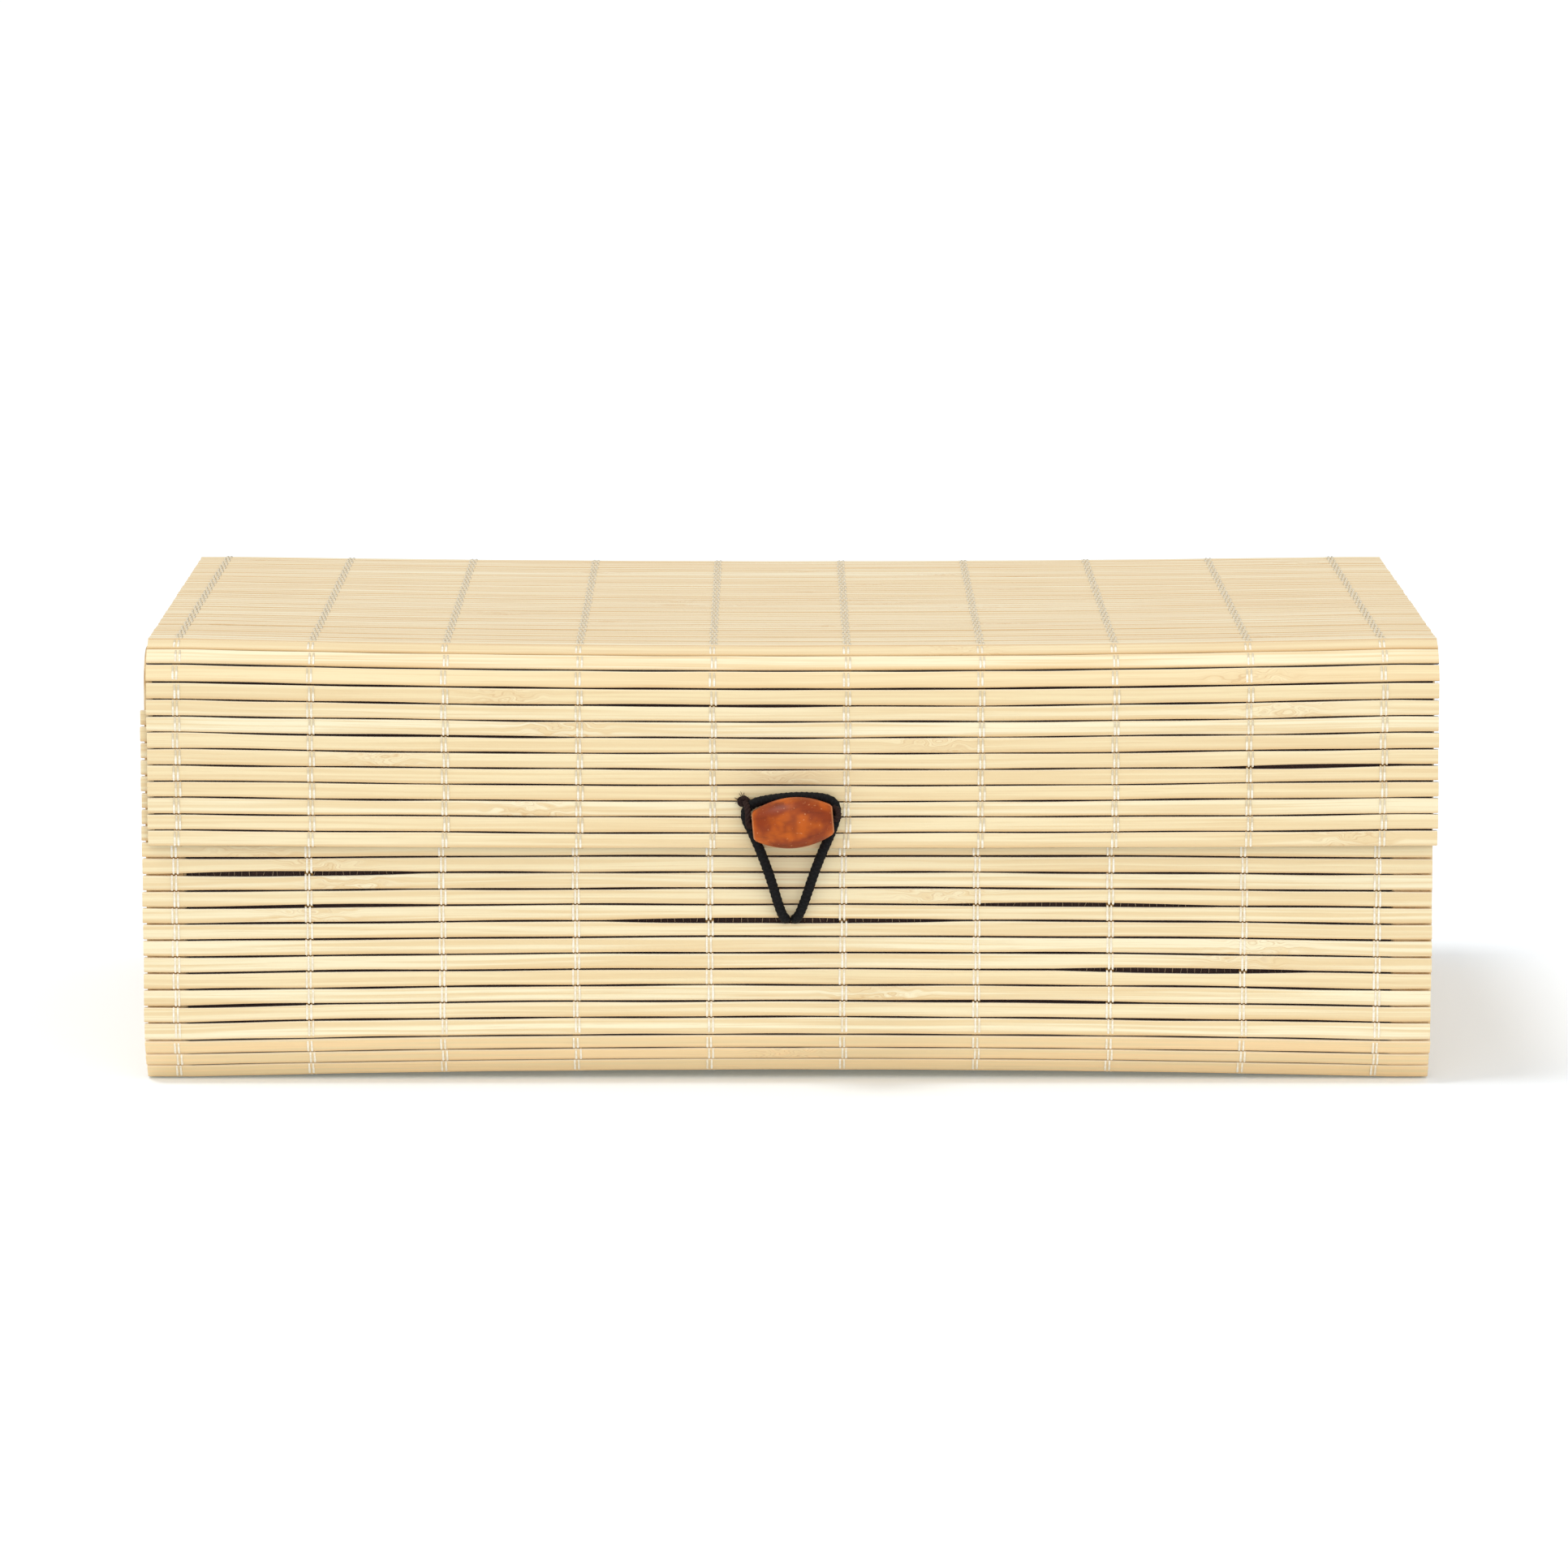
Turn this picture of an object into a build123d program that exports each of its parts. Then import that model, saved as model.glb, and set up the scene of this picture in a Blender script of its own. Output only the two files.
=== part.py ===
from build123d import *
import os
from math import atan2, cos, radians, sin

# Brush box with a hinged lid, made from one mat of bamboo slats.
#
# One mat goes up the front, round under the floor, up the back, over the top as the lid, and
# down over the front wall as a flap. Its slats run along X, are held by ten columns of warp
# threads, and are backed with cloth. Two wooden end panels close the ends and carry the fixed
# part of the mat. The lid turns at the back where the backing cloth bends between slats, and
# the flap folds in the same way at the front. A wooden bead on the flap and an elastic loop on
# the front wall keep it shut.
#
# Millimetres. The origin is the centre of the base, +X runs along the slats to the right,
# -Y is the front and +Z is up. Sections are drawn as (y, z) points, walked in one direction:
# down the front, back along the floor, up the back, forward over the lid, down the flap.
# The outside of the box is on the right of that walk.

# Box
box_length = 320.0
box_depth = 192.0
box_height = 111.3
front_wall_drop = 18.0
flap_drop = 50.8

# Slat mat
slat_pitch = 4.1
slat_width = 3.6
slat_thickness = 1.4
slat_chamfer = 0.3
cloth_thickness = 0.5
thread_columns = 10
thread_left_margin = 7.4
thread_right_margin = 13.6
thread_band_width = 1.5
thread_band_thickness = 0.25

# Rounded corners and folds: slats that follow the bend between two straight runs. A bottom
# corner's tilts are from upright, top slat first
bend_slats = 3
cloth_fold_relief = 0.15
bottom_slat_tilts = (31.0, 35.0, 35.0)

# End panels
panel_thickness = 10.0
panel_back_radius = 10.5
panel_front_radius = 9.0

# Clearances
lid_clearance = 0.3
flap_clearance = 0.35
cloth_side_clearance = 0.4
cloth_edge_inset = 1.5
running_clearance = 0.3

# Bead and its cord
bead_length = 20.0
bead_diameter = 12.6
bead_end_diameter = 7.0
bead_edge_round = 0.4
bead_bore_diameter = 3.0
bead_above_flap_edge = 7.0
bead_tilt = 5.0
bead_cord_diameter = 1.5
cord_knot_diameter = 3.2
cord_knot_depth = 2.6
cord_knot_x = -12.9
cord_knot_gap = 3
cord_tail_x = 8.6

# Elastic loop
elastic_diameter = 2.3
loop_flap_clearance = 0.8
loop_anchor_gap = 7
loop_knot_diameter = 4.8
loop_knot_depth = 3.0

# Heights that follow from the lid's
front_wall_height = box_height - front_wall_drop
flap_bottom_height = box_height - flap_drop
bead_height = flap_bottom_height + bead_above_flap_edge

# Where the cloth's middle lies in each straight run
wall_line = box_depth / 2 - slat_thickness - cloth_thickness / 2
floor_line = slat_thickness + cloth_thickness / 2
lid_line = box_height - slat_thickness - cloth_thickness / 2
flap_face = box_depth / 2 + thread_band_thickness + flap_clearance
flap_line = flap_face + cloth_thickness / 2
flap_outer = flap_line + cloth_thickness / 2 + slat_thickness

# Turn of each bend slat from the heading of the walk: equal steps at the lid, where the mat
# folds, and steep slats with a sharper last bend at the floor
lid_turns = [90.0 / (bend_slats + 1) * k for k in range(1, bend_slats + 1)]
front_turns = bottom_slat_tilts
back_turns = [90.0 - tilt for tilt in reversed(bottom_slat_tilts)]
lid_bend_reach = slat_pitch * sum(cos(radians(turn)) for turn in lid_turns)
bottom_bend_rise = slat_pitch * sum(cos(radians(tilt)) for tilt in bottom_slat_tilts)
bottom_bend_reach = slat_pitch * sum(sin(radians(tilt)) for tilt in bottom_slat_tilts)

thread_spacing = (box_length - thread_left_margin - thread_right_margin) / (thread_columns - 1)
thread_x = [thread_left_margin - box_length / 2 + thread_spacing * k for k in range(thread_columns)]


def bend_points(start, heading, turns):
    """Fold points of one corner, from its first fold to its last, for a walk that comes in at a heading."""
    points = [start]
    for turn in turns:
        angle = radians(heading + turn)
        y, z = points[-1]
        points.append((y + slat_pitch * cos(angle), z + slat_pitch * sin(angle)))
    return points


def moved_line(points, distance):
    """An open line of (y, z) points moved sideways to the outside of the box, its corners kept mitred."""
    headings = [atan2(b[1] - a[1], b[0] - a[0]) for a, b in zip(points, points[1:])]
    moved = []
    for (y, z), before, after in zip(points, headings[:1] + headings, headings + headings[-1:]):
        reach = distance / cos((after - before) / 2)
        middle = (before + after) / 2
        moved.append((y + reach * sin(middle), z - reach * cos(middle)))
    return moved


# Straight runs of the mat as (first point, heading, length)
front_bend = bend_points((-wall_line, floor_line + bottom_bend_rise), -90, front_turns)
back_bend = bend_points((wall_line - bottom_bend_reach, floor_line), 0, back_turns)
hinge_folds = bend_points((wall_line, lid_line - lid_bend_reach), 90, lid_turns)
flap_folds = bend_points((lid_bend_reach - flap_line, lid_line), 180, lid_turns)
front_run = ((-wall_line, front_wall_height), -90, front_wall_height - floor_line - bottom_bend_rise)
floor_run = (front_bend[-1], 0, 2 * (wall_line - bottom_bend_reach))
back_run = (back_bend[-1], 90, lid_line - floor_line - bottom_bend_rise - lid_bend_reach)
lid_run = (hinge_folds[-1], 180, wall_line + flap_line - 2 * lid_bend_reach)
flap_run = (flap_folds[-1], 270, lid_line - lid_bend_reach - flap_bottom_height)


def section(point, heading, x):
    """Plane across the box at x: its X axis is the walk's heading and its Y axis points inside."""
    angle = radians(heading)
    return Plane(origin=(x, *point), x_dir=(0, cos(angle), sin(angle)), z_dir=(1, 0, 0))


def slat_count(run):
    """Number of slats that fills a run near the mat's usual spacing."""
    return round(run[2] / slat_pitch)


def links(folds, heading, turns):
    """The short runs between the folds of a corner, one for each slat."""
    return [(fold, heading + turn, slat_pitch) for fold, turn in zip(folds, turns)]


def add_slats(run):
    """Slats on the outer face of the cloth, evenly spaced along a run."""
    start, heading, length = run
    count = slat_count(run)
    middles = [(length * (k + 0.5) / count, -(cloth_thickness + slat_thickness) / 2) for k in range(count)]
    with BuildSketch(section(start, heading, -box_length / 2)) as profiles:
        with Locations(*middles):
            Rectangle(slat_width, slat_thickness)
        chamfer(profiles.vertices().group_by(Axis.Y)[0], slat_chamfer)
    extrude(profiles.sketch, amount=box_length)


def add_threads(run):
    """One band of warp threads in each column, on the outer face of a run's slats."""
    start, heading, length = run
    end_inset = (length / slat_count(run) - slat_width) / 2 + slat_chamfer
    outer_face = cloth_thickness / 2 + slat_thickness
    with BuildSketch(*[section(start, heading, x - thread_band_width / 2) for x in thread_x]) as bands:
        with Locations((length / 2, -outer_face - thread_band_thickness / 2)):
            Rectangle(length - 2 * end_inset, thread_band_thickness)
    extrude(bands.sketch, amount=thread_band_width)


def add_cloth(run, half_width):
    """A flat stretch of backing cloth, drawn back from the folds at its ends."""
    start, heading, length = run
    with BuildSketch(section(start, heading, -half_width)) as strip:
        with Locations((length / 2, 0)):
            Rectangle(length - 2 * cloth_fold_relief, cloth_thickness)
    extrude(strip.sketch, amount=2 * half_width)


def save(piece, name):
    """Label a finished piece and write it to its own STEP file."""
    piece.part.label = name
    export_step(piece.part, f"parts/{name}.step")


os.makedirs("parts", exist_ok=True)

# End panels: the mat's slats lie on their edges, and the cloth fits between them
body_line = [front_run[0], *front_bend, *back_bend, hinge_folds[0]]
panel_outline = moved_line(body_line, cloth_thickness / 2)
panel_top = lid_line - cloth_thickness / 2 - lid_clearance
panel_outline[0] = (panel_outline[0][0], panel_top)
panel_outline[-1] = (panel_outline[-1][0], panel_top)

for name, panel_x in (
    ("left_end_panel", -box_length / 2),
    ("right_end_panel", box_length / 2 - panel_thickness),
):
    with BuildPart() as panel:
        with BuildSketch(Plane.YZ.offset(panel_x)) as outline:
            with BuildLine():
                Polyline(*panel_outline, close=True)
            make_face()
            fillet(outline.vertices().group_by(Axis.Y)[-1].sort_by(Axis.X)[0], panel_front_radius)
            fillet(outline.vertices().group_by(Axis.Y)[-1].sort_by(Axis.X)[-1], panel_back_radius)
        extrude(amount=panel_thickness)
    save(panel, name)

# Fixed part of the mat
with BuildPart() as front_wall_slats:
    add_slats(front_run)
save(front_wall_slats, "front_wall_slats")

with BuildPart() as front_bend_slats:
    for run in links(front_bend, -90, front_turns):
        add_slats(run)
save(front_bend_slats, "front_bend_slats")

with BuildPart() as floor_slats:
    add_slats(floor_run)
save(floor_slats, "floor_slats")

with BuildPart() as back_bend_slats:
    for run in links(back_bend, 0, back_turns):
        add_slats(run)
save(back_bend_slats, "back_bend_slats")

with BuildPart() as back_wall_slats:
    add_slats(back_run)
save(back_wall_slats, "back_wall_slats")

# The floor's underside stays bare, so that the box stands on its slats
with BuildPart() as body_threads:
    for run in (front_run, *links(front_bend, -90, front_turns)):
        add_threads(run)
    for run in (*links(back_bend, 0, back_turns), back_run):
        add_threads(run)
save(body_threads, "body_threads")

compartment_half_length = box_length / 2 - panel_thickness
lining_line = [*body_line[:-1], (hinge_folds[0][0], hinge_folds[0][1] - cloth_fold_relief)]
with BuildPart() as body_lining:
    with BuildSketch(Plane.YZ.offset(-compartment_half_length)):
        with BuildLine():
            lining_outside = moved_line(lining_line, cloth_thickness / 2)
            lining_inside = moved_line(lining_line, -cloth_thickness / 2)
            Polyline(*lining_outside, *reversed(lining_inside), close=True)
        make_face()
    extrude(amount=2 * compartment_half_length)
save(body_lining, "body_lining")

# Lid, with its cloth over the end panels
lid_cloth_half_width = box_length / 2 - cloth_edge_inset
with BuildPart() as lid_top_slats:
    add_slats(lid_run)
save(lid_top_slats, "lid_top_slats")

with BuildPart() as lid_threads:
    add_threads(lid_run)
save(lid_threads, "lid_threads")

with BuildPart() as lid_lining:
    add_cloth(lid_run, lid_cloth_half_width)
save(lid_lining, "lid_lining")

# Links of the two folds: one slat each, with its strip of cloth and its thread bands
fold_chains = (
    ("hinge", hinge_folds, 90, compartment_half_length - cloth_side_clearance),
    ("fold", flap_folds, 180, lid_cloth_half_width),
)
for chain, folds, heading, cloth_half_width in fold_chains:
    for k, run in enumerate(links(folds, heading, lid_turns), start=1):
        with BuildPart() as link_slat:
            add_slats(run)
        save(link_slat, f"{chain}_slat_{k}")
        with BuildPart() as link_cloth:
            add_cloth(run, cloth_half_width)
        save(link_cloth, f"{chain}_cloth_{k}")
        with BuildPart() as link_threads:
            add_threads(run)
        save(link_threads, f"{chain}_threads_{k}")

# Flap
with BuildPart() as flap_slats:
    add_slats(flap_run)
save(flap_slats, "flap_slats")

with BuildPart() as flap_threads:
    add_threads(flap_run)
save(flap_threads, "flap_threads")

with BuildPart() as flap_lining:
    add_cloth(flap_run, lid_cloth_half_width)
save(flap_lining, "flap_lining")

# Bead: a barrel with a bore, lying just in front of the flap
bead_y = -(flap_outer + running_clearance + bead_diameter / 2)
bead_centre = Vector(0, bead_y, bead_height)
bead_direction = Vector(cos(radians(bead_tilt)), 0, sin(radians(bead_tilt)))
bead_plane = Plane(origin=bead_centre, x_dir=bead_direction, z_dir=(0, -1, 0))

with BuildPart() as bead:
    with BuildSketch(bead_plane) as bead_profile:
        with BuildLine():
            barrel = ThreePointArc(
                (-bead_length / 2, bead_end_diameter / 2),
                (0, bead_diameter / 2),
                (bead_length / 2, bead_end_diameter / 2),
            )
            Polyline(
                barrel @ 1,
                (bead_length / 2, bead_bore_diameter / 2),
                (-bead_length / 2, bead_bore_diameter / 2),
                barrel @ 0,
            )
        make_face()
        fillet(bead_profile.vertices().group_by(Axis.Y)[-1], bead_edge_round)
    revolve(axis=Axis(bead_centre, bead_direction))
save(bead, "bead")

# Bead cord: off its knot, through the bore, and back to the flap inside the elastic loop
cord_reach = bead_length / 2 + bead_cord_diameter
left_of_bead = bead_centre - bead_direction * cord_reach
right_of_bead = bead_centre + bead_direction * cord_reach
knot_z = flap_bottom_height + cord_knot_gap * flap_run[2] / slat_count(flap_run)
knot_face = -(flap_outer + cord_knot_depth)
cord_route = [
    (cord_knot_x, knot_face, knot_z),
    (cord_knot_x, bead_y - running_clearance, knot_z),
    tuple(left_of_bead),
    tuple(right_of_bead),
    (right_of_bead.X - 0.4, bead_y + 3.0, right_of_bead.Z + 2.2),
    (cord_tail_x, -flap_outer - 1.6, right_of_bead.Z + 2.4),
    (cord_tail_x, -flap_outer, right_of_bead.Z + 2.4),
]
cord_bend_radii = [1.1, 1.1, 0.9, 0.9, 0.8]
with BuildPart() as bead_cord:
    with BuildLine() as cord_path:
        FilletPolyline(*cord_route, radius=cord_bend_radii)
    with BuildSketch(Plane(origin=cord_path.line @ 0, z_dir=cord_path.line % 0)):
        Circle(bead_cord_diameter / 2)
    sweep()
save(bead_cord, "bead_cord")

# The cord's knot, which sits on the flap
with BuildPart() as bead_cord_knot:
    with BuildSketch(Plane.XZ.offset(flap_outer)):
        with Locations((cord_knot_x, knot_z)):
            Circle(cord_knot_diameter / 2)
    extrude(amount=cord_knot_depth)
    fillet(bead_cord_knot.faces().sort_by(Axis.Y)[0].edges(), cord_knot_diameter / 4)
save(bead_cord_knot, "bead_cord_knot")

# Elastic loop: out of a gap in the front wall, up behind the bead's ends and over its top
anchor_z = front_bend[0][1] + loop_anchor_gap * front_run[2] / slat_count(front_run)
loop_y = -(flap_outer + loop_flap_clearance + elastic_diameter / 2)
loop_exit_y = -(box_depth / 2 + running_clearance)
loop_turn_y = loop_exit_y - 2.6
loop_route = [
    (-1.5, loop_exit_y, anchor_z),
    (-1.5, loop_turn_y, anchor_z),
    (-11.9, loop_y, bead_height - 0.1),
    (-9.6, loop_y, bead_height + 4.7),
    (-0.2, loop_y, bead_height + 7.3),
    (10.8, loop_y, bead_height + 6.6),
    (13.1, loop_y, bead_height + 1.7),
    (1.5, loop_turn_y, anchor_z),
    (1.5, loop_exit_y, anchor_z),
]
loop_bend_radii = [2.4, 4.0, 4.0, 12.0, 3.5, 4.0, 2.4]
with BuildPart() as closure_loop:
    with BuildLine() as loop_path:
        FilletPolyline(*loop_route, radius=loop_bend_radii)
    with BuildSketch(Plane(origin=loop_path.line @ 0, z_dir=loop_path.line % 0)):
        Circle(elastic_diameter / 2)
    sweep()
save(closure_loop, "closure_loop")
loop_length = sum(edge.length for edge in loop_path.edges())
print("elastic loop: length", round(loop_length, 2), "bend radii", loop_bend_radii)
print("elastic loop: volume", round(closure_loop.part.volume, 2))

# Knot that holds the loop's ends inside the front wall
with BuildPart() as loop_knot:
    with BuildSketch(Plane.XZ.offset(wall_line - cloth_thickness / 2)):
        with Locations((0, anchor_z)):
            Circle(loop_knot_diameter / 2)
    extrude(amount=-loop_knot_depth)
    fillet(loop_knot.faces().sort_by(Axis.Y)[-1].edges(), loop_knot_diameter / 5)
save(loop_knot, "loop_knot")
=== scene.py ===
from math import cos, pi, radians, sin

import bmesh
import bpy
import numpy as np
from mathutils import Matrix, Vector


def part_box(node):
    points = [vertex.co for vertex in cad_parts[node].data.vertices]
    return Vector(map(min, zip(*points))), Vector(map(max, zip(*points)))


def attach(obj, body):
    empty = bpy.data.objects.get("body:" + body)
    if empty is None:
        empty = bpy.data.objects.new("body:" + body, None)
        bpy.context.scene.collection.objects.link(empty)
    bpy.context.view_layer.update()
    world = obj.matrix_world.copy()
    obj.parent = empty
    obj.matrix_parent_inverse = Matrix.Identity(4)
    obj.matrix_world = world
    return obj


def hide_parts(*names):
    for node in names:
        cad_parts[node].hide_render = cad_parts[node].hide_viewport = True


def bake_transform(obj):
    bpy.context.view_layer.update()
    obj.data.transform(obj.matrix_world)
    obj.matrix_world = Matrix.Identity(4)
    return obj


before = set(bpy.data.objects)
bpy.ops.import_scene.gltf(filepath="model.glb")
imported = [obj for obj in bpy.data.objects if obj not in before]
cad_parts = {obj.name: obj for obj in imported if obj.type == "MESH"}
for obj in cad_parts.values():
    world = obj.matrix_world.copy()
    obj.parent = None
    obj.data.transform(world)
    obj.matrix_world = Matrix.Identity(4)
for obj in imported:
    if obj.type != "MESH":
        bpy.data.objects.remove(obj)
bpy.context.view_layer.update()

# A brush box made from one mat of bamboo slats on two wooden end panels. The mat runs down the
# front wall, under the floor, up the back, over the top as the lid, and down over the front wall
# as a flap. Sizes are in millimetres, as in the CAD, and places are turned into metres when a
# mesh is made. A section point is (y, z), and the mat is walked in one direction with the
# outside of the box on its right.

MM = 0.001
random = np.random.default_rng(11)


def node_box(node):
    """Lowest and highest corners of a CAD node, in millimetres."""
    low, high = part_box(node)
    return np.array(low) / MM, np.array(high) / MM


# Sizes from the CAD parts
lid_low, lid_high = node_box("lid_top_slats")
wall_low, _ = node_box("front_wall_slats")
panel_low, panel_high = node_box("left_end_panel")
bead_low, bead_high = node_box("bead")
box_length = lid_high[0] - lid_low[0]
box_height = lid_high[2]
box_depth = -2 * wall_low[1]
panel_thickness = panel_high[0] - panel_low[0]

# Slat mat
front_wall_length = 83.0
flap_bottom_height = box_height - 50.8
slat_pitch = 4.1
slat_thickness = 1.4
floor_slat_thickness = 1.15
slat_gap = 0.48
cloth_thickness = 0.5
bend_slats = 3
links = range(1, bend_slats + 1)
bottom_slat_tilts = (34.0, 37.0, 40.0)
flap_gap = 0.6

# Warp threads: four to a column, two of them over each slat
thread_columns = 10
first_column = 7.4 - box_length / 2
last_column = box_length / 2 - 13.6
thread_offsets = (-0.73, -0.27, 0.27, 0.73)
thread_width = 0.46
thread_thickness = 0.2

# Between the panels the floor arches up and the lid sags, and the mat is glued on slightly askew.
# The mat rises by floor_lift along the whole floor, and by the other lifts at the front wall's
# top, the hinge, the fold and the flap's lower edge, with even changes in between
bow_half_span = 150.0
front_wall_lift = -0.1
floor_lift = 1.8
hinge_lift = -1.2
fold_lift = -1.8
flap_lift = -0.6
mat_skew = -1.1
body_left_reach = 0.7
body_shift = -0.9

wall_line = box_depth / 2 - slat_thickness - cloth_thickness / 2
floor_line = slat_thickness + cloth_thickness / 2
lid_line = box_height - slat_thickness - cloth_thickness / 2
flap_line = box_depth / 2 + flap_gap + cloth_thickness / 2
lid_turns = [90.0 / (bend_slats + 1) * k for k in links]
back_turns = [90.0 - tilt for tilt in reversed(bottom_slat_tilts)]
lid_bend_reach = slat_pitch * sum(cos(radians(turn)) for turn in lid_turns)
bottom_bend_rise = slat_pitch * sum(cos(radians(tilt)) for tilt in bottom_slat_tilts)
bottom_bend_reach = slat_pitch * sum(sin(radians(tilt)) for tilt in bottom_slat_tilts)
column_x = np.linspace(first_column, last_column, thread_columns)
column_spacing = column_x[1] - column_x[0]


# ---------- The mat's line through the section ----------


def bend_points(start, heading, turns):
    """Fold points of one corner, for a walk that comes in at a heading."""
    points = [start]
    for turn in turns:
        angle = radians(heading + turn)
        y, z = points[-1]
        points.append((y + slat_pitch * cos(angle), z + slat_pitch * sin(angle)))
    return points


class Run:
    """A straight stretch of the mat: its first point, heading, length, slats and CAD body."""

    def __init__(self, node, body, start, heading, length):
        self.node, self.body = node, body
        self.start, self.heading, self.length = start, heading, length
        self.count = round(length / slat_pitch)
        self.pitch = length / self.count
        self.thickness = floor_slat_thickness if node == "floor_slats" else slat_thickness

    def section(self, along, out):
        """(y, z) of points that lie along the run and out from the middle of its cloth."""
        angle = radians(self.heading)
        y = self.start[0] + along * cos(angle) + out * sin(angle)
        z = self.start[1] + along * sin(angle) - out * cos(angle)
        return y, z


def corner(folds, heading, turns, nodes, bodies):
    """The short runs between the folds of a corner."""
    return [
        Run(node, body, fold, heading + turn, slat_pitch)
        for node, body, fold, turn in zip(nodes, bodies, folds, turns)
    ]


front_bend = bend_points((-wall_line, floor_line + bottom_bend_rise), -90, bottom_slat_tilts)
back_bend = bend_points((wall_line - bottom_bend_reach, floor_line), 0, back_turns)
hinge_folds = bend_points((wall_line, lid_line - lid_bend_reach), 90, lid_turns)
flap_folds = bend_points((lid_bend_reach - flap_line, lid_line), 180, lid_turns)
box_bodies = ["box"] * bend_slats
hinge_bodies = [f"hinge_link_{k}" for k in links]
fold_bodies = [f"fold_link_{k}" for k in links]
hinge_nodes = [f"hinge_slat_{k}" for k in links]
fold_nodes = [f"fold_slat_{k}" for k in links]

mat = [
    Run("front_wall_slats", "box", (-wall_line, floor_line + bottom_bend_rise + front_wall_length),
        -90, front_wall_length),
    *corner(front_bend, -90, bottom_slat_tilts, ["front_bend_slats"] * bend_slats, box_bodies),
    Run("floor_slats", "box", front_bend[-1], 0, 2 * (wall_line - bottom_bend_reach)),
    *corner(back_bend, 0, back_turns, ["back_bend_slats"] * bend_slats, box_bodies),
    Run("back_wall_slats", "box", back_bend[-1], 90,
        lid_line - floor_line - bottom_bend_rise - lid_bend_reach),
    *corner(hinge_folds, 90, lid_turns, hinge_nodes, hinge_bodies),
    Run("lid_top_slats", "lid", hinge_folds[-1], 180, wall_line + flap_line - 2 * lid_bend_reach),
    *corner(flap_folds, 180, lid_turns, fold_nodes, fold_bodies),
    Run("flap_slats", "flap", flap_folds[-1], 270, lid_line - lid_bend_reach - flap_bottom_height),
]
walked = 0.0
for run in mat:
    run.walked = walked
    walked += run.length
mat_length = walked
by_node = {run.node: run for run in mat}
front_run, back_run = by_node["front_wall_slats"], by_node["back_wall_slats"]
floor_run, lid_run, flap_run = by_node["floor_slats"], by_node["lid_top_slats"], by_node["flap_slats"]
hinge_runs = [by_node[node] for node in hinge_nodes]
fold_runs = [by_node[node] for node in fold_nodes]
lifts = [front_wall_lift, floor_lift, floor_lift, hinge_lift, fold_lift, flap_lift]
lift_stops = [0.0, floor_run.walked, back_run.walked, lid_run.walked, flap_run.walked, mat_length]


def placed(run, along, out, x):
    """Points of the mat in metres, with its skew and its bow between the panels."""
    return bowed(run, along, out, x + mat_skew * (1 - (run.walked + along) / mat_length))


def bowed(run, along, out, x):
    """Points of a run in metres, raised or lowered between the panels."""
    x, y, z = np.broadcast_arrays(x, *run.section(along, out))
    span = np.clip(1 - (x / bow_half_span) ** 2, 0, 1)
    return np.stack([x, y, z + span * np.interp(run.walked + along, lift_stops, lifts)], axis=-1) * MM


# ---------- Mesh helpers ----------


class Tubes:
    """Collects closed tubes, given as rings of points, that make one piece's mesh."""

    def __init__(self):
        self.points, self.faces, self.finishes, self.values = [], [], [], {}
        self.count = 0

    def add(self, rings, cap_finish=0, **values):
        rows, around = rings.shape[:2]
        index = self.count + np.arange(rows * around).reshape(rows, around)
        turned = np.roll(index, -1, axis=1)
        quads = np.stack([index[:-1], turned[:-1], turned[1:], index[1:]], axis=-1).reshape(-1, 4)
        self.faces += quads.tolist() + [index[0][::-1].tolist(), index[-1].tolist()]
        self.finishes += [0] * len(quads) + [cap_finish] * 2
        self.points.append(rings.reshape(-1, 3))
        self.count += rows * around
        for name, value in values.items():
            spread = np.broadcast_to(value, (rows, around, 3)).reshape(-1, 3)
            self.values.setdefault(name, []).append(spread)

    def piece(self, name, *materials, sharp=40):
        values = {key: np.concatenate(parts) for key, parts in self.values.items()}
        return mesh_piece(name, np.concatenate(self.points), self.faces, materials, values,
                          self.finishes, sharp)


def mesh_piece(name, points, faces, materials, values=None, finishes=None, sharp=40):
    """A mesh object with smooth faces, its attributes and its materials."""
    mesh = bpy.data.meshes.new(name)
    mesh.from_pydata(points.tolist(), [], faces)
    for material in materials:
        mesh.materials.append(material)
    for key, value in (values or {}).items():
        attribute = mesh.attributes.new(key, "FLOAT_VECTOR", "POINT")
        attribute.data.foreach_set("vector", value.astype(np.float32).ravel())
    if finishes:
        mesh.polygons.foreach_set("material_index", finishes)
    outward(mesh)
    mesh.shade_smooth()
    mesh.set_sharp_from_angle(angle=radians(sharp))
    piece = bpy.data.objects.new(name, mesh)
    bpy.context.scene.collection.objects.link(piece)
    return piece


def outward(mesh):
    """Turns a closed mesh's faces outwards."""
    edit = bmesh.new()
    edit.from_mesh(mesh)
    bmesh.ops.recalc_face_normals(edit, faces=edit.faces)
    edit.to_mesh(mesh)
    edit.free()


def carry(piece, body, slot, *nodes):
    """Puts a piece on its body and hides the CAD nodes it stands for.
    The slot, the name of its finish, is not used.
    """
    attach(piece, body)
    if nodes:
        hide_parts(*nodes)


def swept(path, radius, around, relief=None):
    """Rings of a round tube along a path of points, with frames that don't twist."""
    path = np.asarray(path, float)
    tangents = np.gradient(path, axis=0)
    tangents /= np.linalg.norm(tangents, axis=1)[:, None]
    side = np.cross(tangents[0], (0.31, 0.12, 0.94))
    sides = []
    for tangent in tangents:
        side = side - tangent * side.dot(tangent)
        side /= np.linalg.norm(side)
        sides.append(side)
    sides = np.array(sides)[:, None]
    others = np.cross(tangents[:, None], sides)
    angle = np.linspace(0, 2 * pi, around, endpoint=False)[None, :, None]
    reach = np.broadcast_to(np.asarray(radius, float), (len(path),))[:, None, None]
    if relief is not None:
        reach = reach * relief[:, :, None]
    return path[:, None] + reach * (sides * np.cos(angle) + others * np.sin(angle))


# ---------- Material helpers ----------


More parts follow.
